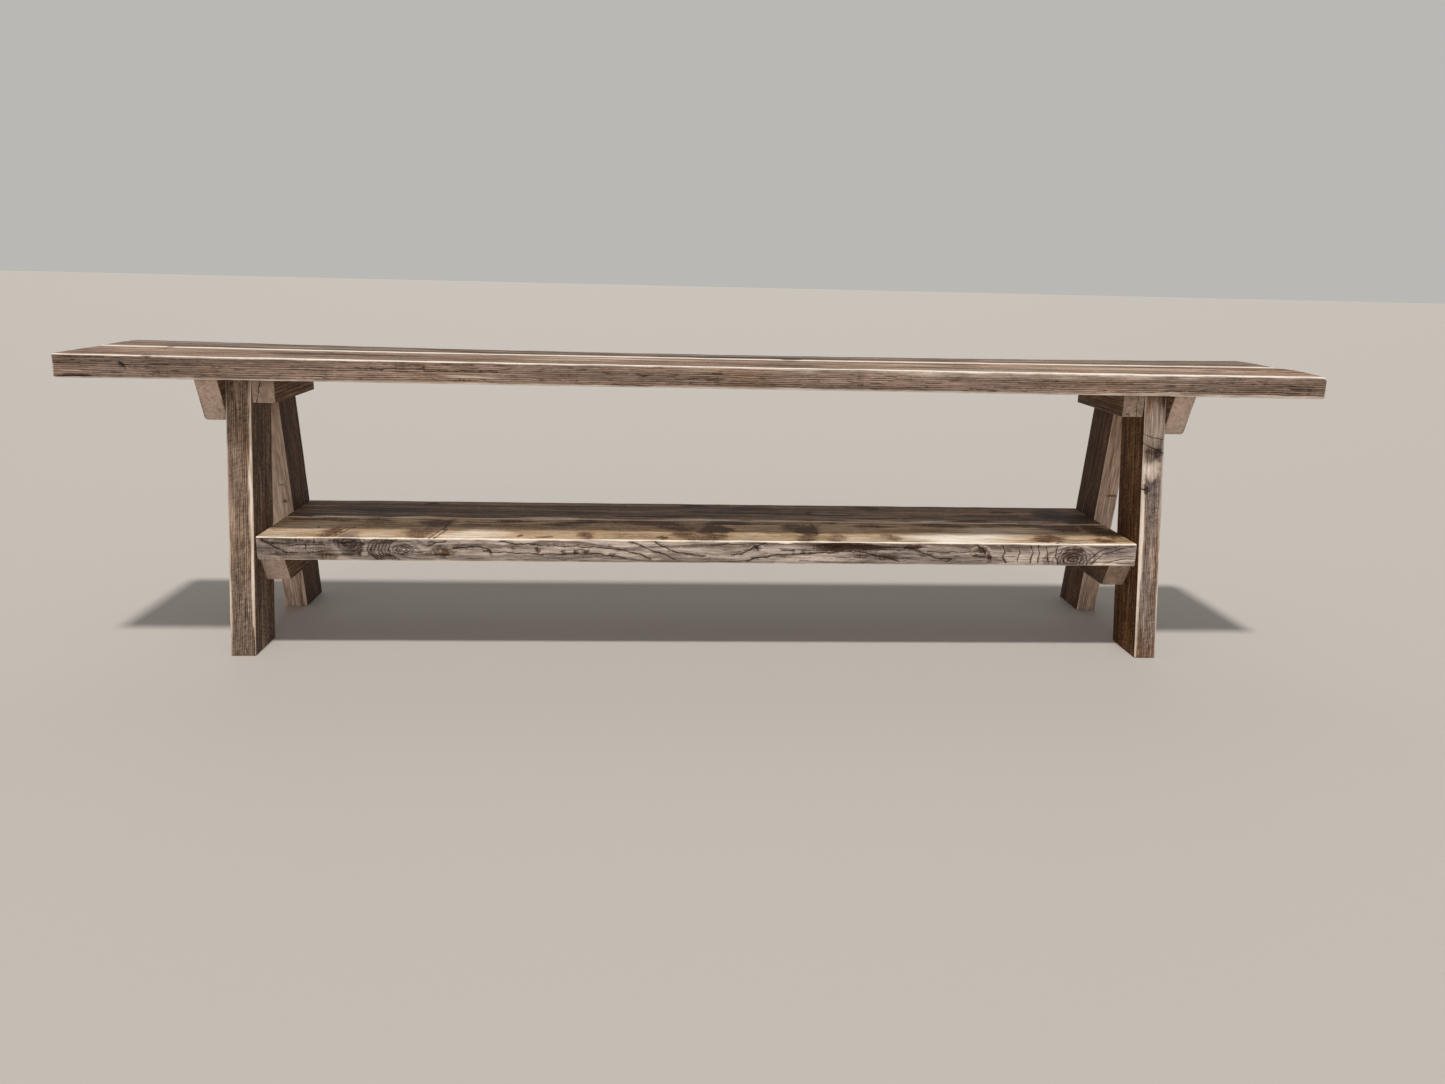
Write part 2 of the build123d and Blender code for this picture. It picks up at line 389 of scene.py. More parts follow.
    # The colours, one over the other
    grey = ramp(math("ADD", attribute("grey"), math("MULTIPLY_ADD", blotch, 1.2, -0.6)), 0.2, 0.9)
    fresh_wood = mix(late, tone["early"], tone["late"])
    grey_wood = mix(late, tone["grey"], tone["grey_late"])
    wood = mix(grey, fresh_wood, grey_wood)
    wood = shade(wood, year, 0.0, 1.0, 0.86, 1.1)
    wood = mix(math("MULTIPLY", dash, 0.75 * dots), wood, tone["dash"])
    wood = mix(math("MULTIPLY", fleck, 0.4 * dots), wood, tone["sanded"])
    wood = shade(wood, band, 0.34, 0.66, 1 - 0.26 * bands, 1 + 0.18 * bands)
    wood = shade(wood, blotch, 0.3, 0.7, 0.85, 1.1)
    if saw:
        tilted = add("Mapping", {"Vector": place, "Rotation": saw_tilt})
        stretched = vector("MULTIPLY", tilted, saw_stretch)
        kerf = add("TexNoise", {"Vector": stretched, "Scale": 1.0, "Detail": 3.0, "Roughness": 0.6})
        wood = shade(wood, kerf, 0.38, 0.62, 1 - 0.4 * saw, 1 + 0.16 * saw)
    # The wear here also holds painted light on faces in shade, and the stains below also hold painted shade
    # on side faces and under the seat
    worn = marked("worn", 0.12, 0.85, (0.5, ragged), (0.9, drawn_out))
    sanded = mix(math("MULTIPLY", streak, 0.7), tone["sanded"], tone["pale_and_painted_highlight"])
    wood = mix(math("MULTIPLY", worn, 0.9), wood, sanded)
    stain_and_painted_shade = marked("stain_and_painted_shade", 0.12, 0.75, (0.5, ragged), (1.0, drawn_out), (1.0, mottled))
    soaked = mix(1.0, wood, mix(streak, tone["stain_and_painted_shade"], tone["stain_pale"]), "MULTIPLY")
    wood = mix(stain_and_painted_shade, wood, soaked)
    if heartwood is not None:
        heartwood = math("MULTIPLY", heartwood, ramp(streak, 0.3, 0.6, 0.35, 1.0))
        wood = mix(heartwood, wood, mix(late, tone["knot"], tone["knot_late"]))
    wood = shade(wood, streak, 0.33, 0.67, 1 - 0.28 * streaks, 1 + 0.2 * streaks)
    wood = shade(wood, fibre, 0.3, 0.7, 1 - 0.14 * streaks, 1 + 0.12 * streaks)
    # Arrises go near white: sanded wood with a painted highlight on it
    rubbed_and_painted_highlight = marked("worn", 0.64, 0.92, (0.4, ragged), (0.4, drawn_out))
    wood = mix(math("MULTIPLY", rubbed_and_painted_highlight, 0.95), wood, tone["pale_and_painted_highlight"])
    beside = math("ABSOLUTE", math("MULTIPLY_ADD", ragged, 0.7, attribute("beside")))
    crack = math("MULTIPLY", ramp(beside, 0.9, 0.35), ramp(attribute("crack"), 0.15, 0.4))
    wood = mix(math("MULTIPLY", crack, 0.85), wood, tone["crack"])

    # The relief: late wood, streaks and saw marks stand up, dashes and cracks go in
    height = math("MULTIPLY_ADD", late, 0.3, math("MULTIPLY", streak, 0.6))
    height = math("MULTIPLY_ADD", dash, -0.35, height)
    if saw:
        height = math("MULTIPLY_ADD", kerf, saw, height)
    height = math("MULTIPLY_ADD", crack, -1.5, height)
    bump = add("Bump", {"Strength": 0.6, "Distance": 0.8 * MM, "Height": height})
    rough = math("MULTIPLY_ADD", streak, 0.22, 0.62)
    inputs = {"Base Color": wood, "Roughness": rough, "Normal": bump, "Specular IOR Level": 0.13}
    add("OutputMaterial", {"Surface": add("BsdfPrincipled", inputs)})
    return material


# The wood's colours: early and late wood, fresh and greyed, dark dashes, sanded wood, and pale wood that is
# also a painted highlight on arrises, what darker and paler stains multiply it by, knots and cracks
leg_tones = {
    "early": "ae8d72", "late": "5a4234", "grey": "9f8876", "grey_late": "48382e", "dash": "3f2e25",
    "sanded": "d4b49a", "pale_and_painted_highlight": "f6e3d0", "stain_and_painted_shade": "75665c", "stain_pale": "a4968a",
    "knot": "54402f", "knot_late": "2c1f17", "crack": "20160f",
}
# Warmer, more orange wood for the right front leg, which its sides show as a painted warm shade
right_leg_tones_with_painted_shade = leg_tones | {
    "early": "ab7a49", "late": "4f3117", "grey": "a28f85", "grey_late": "4a3c35", "dash": "38240f",
    "sanded": "d3bba9",
}
# Paler wood for the back legs, partly painted light on front faces that the seat shades
back_leg_tones_with_painted_light = leg_tones | {
    "early": "cca68c", "late": "714b38", "grey": "b59a88", "grey_late": "5e4539", "sanded": "d8b49c",
}
# The strength of each leg's saw marks, how far its sides are darkened as painted shade, how far they are
# kept from greying for a warmer painted shade, and its colours
leg_finish = {
    "left_front_leg": (0.7, 0.38, 0, leg_tones),
    "left_back_leg": (0.3, 0.7, 0, back_leg_tones_with_painted_light),
    "right_front_leg": (0.7, 0.5, 0.5, right_leg_tones_with_painted_shade),
    "right_back_leg": (0.3, 0.7, 0.3, back_leg_tones_with_painted_light),
}
# Marks on each leg's face to the front, in millimetres from its inner side and from the floor. A worn or
# stained mark has its middle, its half sizes and its strength, and a crack its half width and its points
leg_marks = {
    "left_front_leg": {
        "worn": [
            (2, 225, 5, 60, 0.95), (1, 130, 4.5, 130, 0.85), (1, 330, 3.5, 60, 0.9),
            (24, 200, 12, 150, 0.3),
        ],
        "stain_and_painted_shade": [
            (2, 14, 2.5, 30, 0.9), (20, 350, 30, 34, 0.25), (18, 110, 9, 60, 0.25), (20, 215, 7, 50, 0.3),
        ],
    },
    "left_back_leg": {
        # A broad mark over the whole front face: painted light where the seat's shade falls
        "worn": [(18, 220, 30, 300, 0.68)],
        "stain_and_painted_shade": [(14, 213, 5, 2, 0.7), (12, 185, 5, 3, 0.7)],
    },
    "right_front_leg": {
        "worn": [
            # The second mark, at the top of the face, is painted light where the seat's shade falls
            (3, 150, 4, 130, 0.9), (16, 345, 24, 45, 0.6), (14, 281, 18, 16, 0.7),
            (16, 140, 24, 110, 0.3),
        ],
        "stain_and_painted_shade": [
            (20, 307, 20, 8, 0.6), (6, 252, 7, 8, 0.8), (20, 12, 14, 14, 0.3), (20, 215, 12, 26, 0.3),
        ],
        "crack": [
            (0.9, (0, 334), (14, 328), (29, 325)), (1.1, (0, 320), (14, 313), (33, 304)),
            (1.8, (0, 252), (6, 252)), (1.0, (5, 250), (9, 253)),
        ],
    },
    "right_back_leg": {
        # A broad mark over the whole front face: painted light where the seat's shade falls
        "worn": [(18, 220, 30, 300, 0.6)],
        "stain_and_painted_shade": [(22, 210, 12, 2.5, 0.75)],
    },
}
upright = ((0, 0, 1), (0, 1, 0), (1, 0, 0))
leg_low, leg_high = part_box("left_front_leg")
leg_height = leg_high.z
leg_lean = leg_high.y - leg_low.y - leg_width
for end, side in (("left", -1), ("right", 1)):
    for edge_name, edge in (("front", -1), ("back", 1)):
        node = f"{end}_{edge_name}_leg"
        seed = sum(node.encode())
        low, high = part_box(node)
        foot = -edge * leg_low.y
        span = sorted([foot, foot - edge * leg_width])
        level_box = ((low.x, span[0], 0), (high.x, span[1], leg_height))
        inner_x = low.x if side > 0 else high.x
        heads = [(x, y, z) for x, y, z in lap_screws(end, "shelf") if y * edge > 0]
        outer = -1 if side > 0 else 0
        pockets = [(2, outer, (x, y + edge * leg_lean * z / leg_height, z)) for x, y, z in heads]
        arrises = ((leg_arris, leg_arris), (leg_arris, leg_arris))
        places, ways, faces = timber(level_box, upright, leg_steps, arrises, leg_end_arris, seed, pockets)
        a, b = np.abs(places[:, 0] - inner_x), places[:, 2]
        front = towards(ways, 1, -1)
        sides = np.abs(ways[:, 0])
        marks = leg_marks[node]
        near, beside = strokes(a, b, marks.get("crack", []))
        saw, side_painted_shade, side_painted_warm_shade, tones = leg_finish[node]
        # Both arrises of its front and back are sanded pale for their whole length, and brightened further
        # as a painted highlight
        rubbed_and_painted_highlight = [(1, 196, 3.4, 300, 0.75), ((high.x - low.x) / MM - 1, 196, 3, 300, 0.7)]
        worn = np.abs(ways[:, 1]) * spots(a, b, rubbed_and_painted_highlight + marks["worn"])
        # The sides are darkened and kept from greying: a painted shade
        finish = {
            "worn": np.maximum(turned(ways, 0, 1), worn),
            "stain_and_painted_shade": np.maximum(front * spots(a, b, marks.get("stain_and_painted_shade", [])), side_painted_shade * sides),
            "crack": front * near,
            "beside": beside,
            "grey": 0.45 + 0.35 * ripple(places, seed, (0.1, 0.1, 0.25)) - side_painted_warm_shade * sides,
        }
        off_ends = (b > MM) & (b < leg_height - MM)
        depth = leg_wear * ripple(places, seed, (0.04, 0.04, 0.12)) + crack_depth * finish["crack"]
        places -= ways * (off_ends * depth)[:, None]
        # Upright so far, the leg leans by its height, and each pocket by the height of its middle
        leaning = places[:, 2].copy()
        for _, _, head in pockets:
            off_middle = np.hypot(places[:, 1] - head[1], places[:, 2] - head[2])
            leaning[off_middle < pocket_rings[0][0] + 0.01 * MM] = head[2]
        places[:, 1] -= edge * leg_lean * leaning / leg_height
        grain = ((0, -edge * leg_lean, leg_height), (0, edge * leg_height, leg_lean))
        # The heart line goes up halfway across the plank, some 50 mm beyond its inner face
        heart = (120 * MM, -edge * 0.92 * inner_x)
        material = old_softwood(
            node, grain, heart, leg_ring_width, tones, warp=0.8, saw=saw, bands=1.1)
        solid_piece(node, places, faces, material, finish)


# CLEATS
# Short sawn bars from front to back that the boards and legs are screwed to: one outside and one inside
# each pair of legs under the seat, and one inside under the shelf. Their cut ends are pale and clean.
cleat_steps = (2.6 * MM, 2.6 * MM, 2.6 * MM)
cleat_arris = 1.2 * MM
outer_cleat_corner = 5 * MM
cleat_wear = 0.3 * MM
cleat_arris_worn = 0.62
# How far the cleats' sides are darkened: a painted shade
cleat_side_painted_shade = 0.55
cleat_crack_depth = 0.5 * MM
cleat_ring_width = 2.8 * MM
board_screw_gap = 18 * MM
# How far each cleat's bottom stands back from its top at its slanted ends, and where that starts
cleat_set_back = {"outer_seat_cleat": 28 * MM, "inner_seat_cleat": 0, "shelf_cleat": 22 * MM}
slant_start = 86 * MM
cleat_tones = {
    "early": "c4a58a", "late": "7f5e48", "grey": "a08a78", "grey_late": "65503f", "dash": "5e4838",
    "sanded": "c8ad9c", "pale_and_painted_highlight": "dac2b3", "stain_and_painted_shade": "947f6c", "stain_pale": "bcaa98",
    "knot": "5d4536", "knot_late": "37281f", "crack": "241a14",
}
# How far each cleat's ends are sanded, and the marks on its front end in millimetres from its left side
# and its bottom
cleat_marks = {
    "left_outer_seat_cleat": {"sanding": 0.58, "stain_and_painted_shade": [(24, 14, 5, 6, 0.55)]},
    "left_inner_seat_cleat": {
        "sanding": 0.42, "stain_and_painted_shade": [(15, 9, 5, 6, 0.35)],
        "crack": [(0.9, (12, 36), (11.5, 25), (7.5, 10), (6.5, 1))],
    },
    "left_shelf_cleat": {"sanding": 0.6},
    "right_outer_seat_cleat": {"sanding": 0.6, "stain_and_painted_shade": [(27, 40, 4, 14, 0.3)]},
    "right_inner_seat_cleat": {
        "sanding": 0.42, "stain_and_painted_shade": [(8, 4, 3, 3, 0.5)],
        "crack": [(0.8, (20, 36), (22, 24), (20, 14), (23, 1)), (0.7, (9, 5), (12, 2))],
    },
    "right_shelf_cleat": {"sanding": 0.3},
}
crosswise = ((0, 1, 0), (0, 0, 1), (1, 0, 0))


def board_screws(cleat):
    """The middles of the heads of the four screws that go up through a cleat into the boards: one near each
    end of it and one on either side of the joint between the two boards."""
    low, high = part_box(cleat + "_screws")
    boards = "shelf_board" if "shelf" in cleat else "seat_board"
    joint = (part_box("front_" + boards)[1].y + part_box("back_" + boards)[0].y) / 2
    ends = (low.y + screw_head_radius, high.y - screw_head_radius)
    in_y = (ends[0], joint - board_screw_gap, joint + board_screw_gap, ends[1])
    return [((low.x + high.x) / 2, y, low.z) for y in in_y]


for end, side in (("left", -1), ("right", 1)):
    for kind, set_back in cleat_set_back.items():
        node = f"{end}_{kind}"
        seed = sum(node.encode())
        low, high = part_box(node)
        pockets = [(1, 0, head) for head in board_screws(node)]
        if kind == "outer_seat_cleat":
            pockets += [(2, -1 if side > 0 else 0, head) for head in lap_screws(end, "top")]
        lower = outer_cleat_corner if kind == "outer_seat_cleat" else cleat_arris
        arrises = ((lower, lower), (cleat_arris, cleat_arris))
        box = (tuple(low), tuple(high))
        places, ways, faces = timber(box, crosswise, cleat_steps, arrises, cleat_arris, seed, pockets)
        a, b = places[:, 0] - low.x, places[:, 2] - low.z
        front = towards(ways, 1, -1)
        sides = np.abs(ways[:, 0])
        sawn_end = np.maximum(front, towards(ways, 1, 1))
        marks = cleat_marks[node]
        near, beside = strokes(a, b, marks.get("crack", []))
        finish = {
            "worn": np.maximum(cleat_arris_worn * turned(ways, 0, 2), marks["sanding"] * sawn_end),
            "stain_and_painted_shade": np.maximum(front * spots(a, b, marks.get("stain_and_painted_shade", [])), cleat_side_painted_shade * sides),
            "crack": front * near,
            "beside": beside,
            "grey": 0.35 + 0.4 * ripple(places, seed, (0.1, 0.2, 0.1)),
        }
        clear = (b > MM) & (b < high.z - low.z - MM)
        depth = cleat_wear * ripple(places, seed, (0.03, 0.06, 0.03)) + cleat_crack_depth * finish["crack"]
        places -= ways * (clear * depth)[:, None]
        towards_end = np.clip((np.abs(places[:, 1]) - slant_start) / (high.y - slant_start), 0, 1)
        share_down = np.clip((high.z - places[:, 2]) / (high.z - low.z), 0, 1)
        places[:, 1] -= np.sign(places[:, 1]) * set_back * towards_end * share_down
        # The heart line goes below the cleat, beyond its side that faces away from mid-bench
        heart = (low.z - 30 * MM, low.x + side * 50 * MM)
        material = old_softwood(
            node, crosswise[:2], heart, cleat_ring_width, cleat_tones, warp=0.7, saw=0.2, streaks=0.5,
            dots=0.3)
        solid_piece(node, places, faces, material, finish)


# SCREWS
# Forty zinc-plated steel wood screws with flat heads and cross recesses, sunk just below the wood. At each
# end four cross the legs under the seat and four at the shelf, and four go up through each cleat.
shank_radius = 2.5 * MM
root_radius = 1.65 * MM
thread_pitch = 2.5 * MM
head_rim = 0.6 * MM
tip_length = 7 * MM
plain_share = 0.35
cross_half_length = 2.6 * MM
cross_half_width = 0.65 * MM
cross_depth = 2.4 * MM
# Turns round a quarter of the screw, with the corners of the cross among them
quarter = np.radians([0, 14, 28, 45, 62, 76])


def wood_screw(length, plain_length):
    """One screw that points up from its head at the origin, as a grid of rings by turns, and its faces.
    The cross recess is the lesser of half length over cosine and half width over sine. From the rim the
    radius falls at 45 degrees to the shank. On the thread it is the root plus a triangle wave of the depth
    over the pitch less the turn, and over the tip it shrinks with the 0.8th power of what is left."""
    turn = np.concatenate([quarter + np.pi / 2 * n for n in range(4)])
    fold = np.abs((turn + np.pi / 4) % (np.pi / 2) - np.pi / 4)
    cross = np.minimum(cross_half_length / np.cos(fold), cross_half_width / np.maximum(np.sin(fold), 1e-6))
    neck = head_rim + screw_head_radius - shank_radius
    recess = [(0.45 * cross, cross_depth), (0.62 * cross, 0.9 * cross_depth), (0.97 * cross, 0.15 * MM),
              (cross + 0.1 * MM, 0)]
    profile = [(screw_head_radius - 0.15 * MM, 0), (screw_head_radius, 0.12 * MM),
               (screw_head_radius, head_rim), (shank_radius + 0.3 * MM, neck - 0.3 * MM),
               (shank_radius, neck + 0.2 * MM), (shank_radius, plain_length)]
    head = recess + [(radius + 0 * cross, ring_depth) for radius, ring_depth in profile]
    depth = np.arange(plain_length + 0.4 * MM, length, thread_pitch / 5)
    wave = (depth[:, None] / thread_pitch - turn / (2 * np.pi)) % 1
    crest = np.clip(1 - np.abs(wave - 0.5) * 5, 0, 1)
    taper = np.clip((length - depth) / tip_length, 0.04, 1)[:, None] ** 0.8
    thread = (root_radius + (shank_radius - root_radius) * crest) * taper
    radius = np.concatenate([np.array([ring for ring, _ in head]), thread])
    depth = np.concatenate([[ring_depth for _, ring_depth in head], depth])
    places = np.stack([radius * np.cos(turn), radius * np.sin(turn), depth[:, None] + 0 * radius], -1)
    number = np.arange(radius.size).reshape(radius.shape)
    near, far = number[:-1], number[1:]
    quads = np.stack([near, far, np.roll(far, -1, 1), np.roll(near, -1, 1)], -1)
    faces = quads.reshape(-1, 4)[:, ::-1].tolist() + [number[0][::-1].tolist(), number[-1].tolist()]
    return places.reshape(-1, 3), faces


def zinc_plate():
    """Bright zinc on steel: a warm grey metal with cloudy patches of gloss and fine scratches."""
    material, add = new_material("zinc_plate")
    place = add("TexCoord", {}, 3)
    cloud = add("TexNoise", {"Vector": place, "Scale": 420.0, "Detail": 3.0})
    scratch = add("TexNoise", {"Vector": place, "Scale": 2600.0, "Detail": 2.0})
    shade = add("Mix", {0: cloud, 6: colour("b3ab98"), 7: colour("d0cabb")}, 2, data_type="RGBA")
    rough = add("MapRange", {0: cloud, 1: 0.3, 2: 0.7, 3: 0.24, 4: 0.42})
    bump = add("Bump", {"Strength": 0.15, "Distance": 0.05 * MM, "Height": scratch})
    inputs = {"Base Color": shade, "Metallic": 1.0, "Roughness": rough, "Normal": bump}
    add("OutputMaterial", {"Surface": add("BsdfPrincipled", inputs)})
    return material


def screw_set(node, heads, way, material):
    """The four screws of one node, copies of one screw turned to point along way from their heads."""
    low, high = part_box(node)
    length = abs(np.dot(np.array(high - low), way))
    places, faces = wood_screw(length, plain_share * length)
    side = np.roll(np.abs(way), 1)
    stand = np.array([side, np.cross(way, side), way], float)
    copies = [places @ stand + head for head in heads]
    faces = [[corner + n * len(places) for corner in face] for n in range(len(copies)) for face in faces]
    solid_piece(node, np.concatenate(copies), faces, material, {})


plating = zinc_plate()
for end, side in (("left", -1), ("right", 1)):
    for part in lap_screw_gaps:
        screw_set(f"{end}_leg_{part}_screws", np.array(lap_screws(end, part)), (-side, 0, 0), plating)
    for kind in cleat_set_back:
        node = f"{end}_{kind}"
        screw_set(node + "_screws", np.array(board_screws(node)), (0, 0, 1), plating)


# SHELF
# Two old boards side by side between the legs, on the shelf cleats. The front one is full of knots and
# wandering grain, grey on its edge, stained and golden on top, with a broken pale front arris.
board_steps = (2.8 * MM, 3.0 * MM, 1.3 * MM)
front_shelf_steps = (1.9 * MM, 4 * MM, 1.4 * MM)
board_wear = 0.4 * MM
# The arrises of a board by front and back, each below and above, and those round its ends
shelf_arrises = ((3 * MM, 4.6 * MM), (3 * MM, 4 * MM))
shelf_end_arris = 2.5 * MM
shelf_corners = (1 * MM, 1 * MM)
level = (0, 0, 0)
shelf_tones = {
    "early": "dcb88c", "late": "7c5534", "grey": "c6b4a7", "grey_late": "57433a", "dash": "503b2d",
    "sanded": "e6cba8", "pale_and_painted_highlight": "fff5e6", "stain_and_painted_shade": "5d493b", "stain_pale": "97816e",
    "knot": "75645e", "knot_late": "1f1817", "crack": "241710",
}
# The back board's colours are darker, partly its own darker wood and partly a painted shade under the seat
back_shelf_tones_with_painted_shade = {
    "early": "987355", "late": "4a3323", "grey": "846a54", "grey_late": "3d2c1f", "dash": "312116",
    "sanded": "ccb59e", "pale_and_painted_highlight": "efe1cf", "stain_and_painted_shade": "6b5949", "stain_pale": "9a8775",
    "knot": "46352b", "knot_late": "221814", "crack": "17110d",
}
# Marks on the front board's edge, in millimetres from its left end and its underside
shelf_edge_marks = {
    "worn": [
        (60, 34, 50, 1.5, 0.6), (768, 32, 13, 1.6, 0.9), (300, 12, 40, 5, 0.4), (1255, 3, 30, 2.5, 0.8),
        (640, 14, 70, 9, 0.35), (690, 24, 40, 6, 0.4), (1005, 27, 40, 4, 0.35), (560, 10, 40, 6, 0.4),
    ],
    "stain_and_painted_shade": [
        (48, 15, 60, 24, 0.38), (95, 14, 26, 18, 0.5), (132, 27, 24, 7, 0.95), (136, 14, 16, 8, 0.65),
        (147, 14, 4, 9, 0.7), (268, 13, 9, 8, 0.75), (262, 14, 28, 9, 0.5), (300, 21, 22, 5, 0.5),
        (420, 25, 70, 4, 0.35), (445, 9, 60, 4, 0.35), (860, 27, 70, 7, 0.85), (905, 13, 45, 6, 0.6),
        (250, 28, 9, 4, 0.6), (333, 15, 5, 7, 0.5), (366, 19, 7, 7, 0.45), (402, 18, 5, 6, 0.7),
        (440, 15, 5, 5, 0.6), (457, 15, 5, 5, 0.65), (473, 16, 6, 5, 0.6), (510, 11, 6, 4, 0.6),
        (508, 24, 5, 4, 0.5), (720, 25, 7, 5, 0.5), (778, 18, 3, 6, 0.6), (794, 19, 5, 7, 0.55),
        (845, 26, 38, 6, 0.85), (920, 14, 25, 5, 0.6), (957, 27, 16, 5, 0.75), (1062, 24, 9, 6, 0.75),
        (1074, 13, 4, 11, 0.7), (1202, 18, 17, 16, 0.75), (14, 29, 9, 4, 0.6), (47, 29, 6, 4, 0.5),
    ],
    "crack": [
        (1.5, (8, 31), (16, 26), (28, 18), (42, 12)), (0.9, (18, 26), (42, 25), (58, 26)),
        (1.0, (44, 21), (70, 23), (96, 23)), (1.1, (70, 24), (70, 17)), (0.9, (57, 34), (57, 26)),
        (1.0, (83, 34), (82, 25)), (1.6, (112, 31), (122, 25), (134, 28), (142, 31)),
        (1.1, (244, 22), (256, 27), (270, 30)),
        (1.8, (280, 19), (295, 20), (308, 23), (320, 22), (333, 17)),
        (1.3, (348, 30), (370, 27), (400, 26), (440, 24), (480, 23), (510, 21), (530, 18), (550, 13),
         (566, 6)),
        (1.1, (324, 15), (350, 14), (380, 13), (400, 12), (460, 12), (490, 13), (510, 10), (530, 6)),
        (1.3, (536, 32), (550, 27), (560, 22), (580, 15), (602, 6)),
        (1.3, (570, 34), (582, 26), (600, 18), (620, 13), (646, 11)), (0.8, (655, 26), (680, 30)),
        (1.3, (686, 12), (700, 15), (712, 20), (722, 26), (736, 31)), (1.6, (719, 26), (725, 21)),
        (1.1, (710, 4), (730, 10), (752, 13), (790, 15), (820, 17), (850, 19), (880, 19)),
        (1.8, (878, 19), (900, 14), (925, 9), (936, 6)),
        (0.8, (760, 21), (860, 21), (880, 22), (946, 23)),
        (1.2, (946, 26), (965, 22), (980, 16), (990, 11), (1010, 9), (1018, 8), (1009, 5)),
        (0.9, (980, 20), (1062, 20)), (1.5, (1052, 31), (1063, 25), (1068, 18)),
        (1.1, (1050, 13), (1072, 13)), (1.2, (1094, 30), (1097, 21), (1095, 14), (1099, 5)),
        (1.1, (1118, 28), (1120, 19), (1117, 6)), (1.1, (1137, 31), (1140, 20), (1137, 5)),
        (1.0, (1148, 30), (1150, 17), (1149, 5)), (1.0, (1161, 28), (1163, 15), (1166, 5)),
        (1.0, (1177, 29), (1175, 16), (1180, 5)), (1.2, (1226, 8), (1236, 18), (1252, 27), (1272, 31)),
        (1.0, (1232, 5), (1248, 17), (1268, 25), (1292, 30)), (1.0, (1252, 5), (1268, 9), (1294, 12)),
    ],
}


def oval(a0, b0, half_a, half_b):
    """Points round an oval: its middle plus cosine and sine of the turn times the half sizes."""
    turn = np.linspace(0, 2 * np.pi, 17)
    return list(zip(a0 + half_a * np.cos(turn), b0 + half_b * np.sin(turn)))


# The rings that stand out at the big knots: bows to the left of one, then ovals round each knot's middle
bow = ((13, 32), (3.5, 25), (0, 17), (3.5, 9), (14, 2))
shelf_edge_marks["crack"] += [(0.9, *[(start + a, b) for a, b in bow]) for start in range(157, 190, 5)]
ovals = ((208, 17, 0.5, (5, 10, 15)), (1202, 6, 1.1, (8, 13, 18, 23)), (132, 26, 0.8, (9, 17)))
for a0, b0, share, sizes in ovals:
    shelf_edge_marks["crack"] += [(0.6, *oval(a0, b0, size, share * size)) for size in sizes]
# Where those rings lie the mesh is finer: from and to along the board, and its step there, in millimetres
knot_zones = ((112, 236), (1172, 1232))
zone_step = 1.1
# Marks on the front board's top, in millimetres from its left end and its front edge
shelf_top_marks = {
    "worn": [
        (305, 25, 60, 45, 0.7), (1045, 28, 110, 45, 0.8), (872, 16, 50, 22, 0.5), (40, 25, 50, 35, 0.4),
        (165, 25, 40, 35, 0.4), (420, 20, 60, 30, 0.3), (720, 25, 50, 30, 0.35), (1240, 30, 40, 30, 0.35),
        (60, 75, 60, 20, 0.5), (1110, 78, 90, 22, 0.6), (500, 88, 60, 14, 0.4), (880, 75, 50, 18, 0.35),
        (720, 78, 40, 16, 0.35), (1275, 4, 30, 3, 0.6),
    ],
    "stain_and_painted_shade": [
        # The first, broad stain covers the back of the top and is a painted warm shade under the seat
        (450, 95, 380, 50, 0.3), (98, 25, 18, 40, 0.6), (228, 30, 26, 45, 0.6), (375, 18, 5, 9, 0.8),
        (412, 12, 16, 7, 0.65), (472, 24, 14, 30, 0.6), (540, 25, 40, 30, 0.3), (585, 14, 10, 12, 0.75),
        (622, 30, 28, 40, 0.6), (664, 66, 30, 34, 0.9), (657, 18, 26, 34, 0.6), (806, 70, 22, 44, 0.9),
        (801, 20, 18, 34, 0.55), (845, 20, 18, 34, 0.5), (930, 30, 16, 24, 0.45),
        (1172, 28, 30, 26, 0.75), (1255, 20, 18, 18, 0.6), (1275, 75, 30, 50, 0.75),
        (60, 112, 60, 12, 0.75), (150, 100, 30, 30, 0.5), (240, 95, 30, 26, 0.75), (300, 84, 40, 20, 0.4),
        (430, 95, 40, 16, 0.7), (470, 112, 30, 14, 0.75), (560, 108, 70, 18, 0.8),
        (610, 75, 40, 22, 0.65), (690, 110, 50, 16, 0.85), (790, 85, 30, 26, 0.7), (850, 118, 14, 8, 0.8),
        (910, 98, 40, 12, 0.65), (1030, 108, 45, 16, 0.8), (1150, 116, 60, 10, 0.8),
        (1220, 96, 40, 24, 0.75), (350, 110, 34, 10, 0.75), (1000, 80, 30, 10, 0.4),
    ],
    "crack": [
        (1.6, (258, 50), (256, 88), (262, 100), (282, 108)), (1.2, (282, 108), (330, 110), (362, 107)),
        (1.6, (395, 112), (430, 108), (445, 107)), (1.2, (1088, 102), (1165, 103)),
        (1.4, (340, 104), (362, 104)), (1.3, (897, 98), (925, 96)), (1.1, (70, 65), (73, 55)),
        (1.2, (100, 4), (106, 30), (112, 62)), (1.1, (108, 4), (115, 34), (124, 66)),
        (1.2, (246, 2), (250, 30), (254, 60)), (1.0, (254, 2), (259, 30), (262, 55)),
        (1.2, (1176, 3), (1190, 6), (1212, 5)), (1.3, (540, 62), (560, 60)), (1.0, (655, 62), (664, 10)),
        (1.2, (818, 44), (822, 70), (820, 98)), (1.3, (470, 122), (500, 120)),
    ],
}
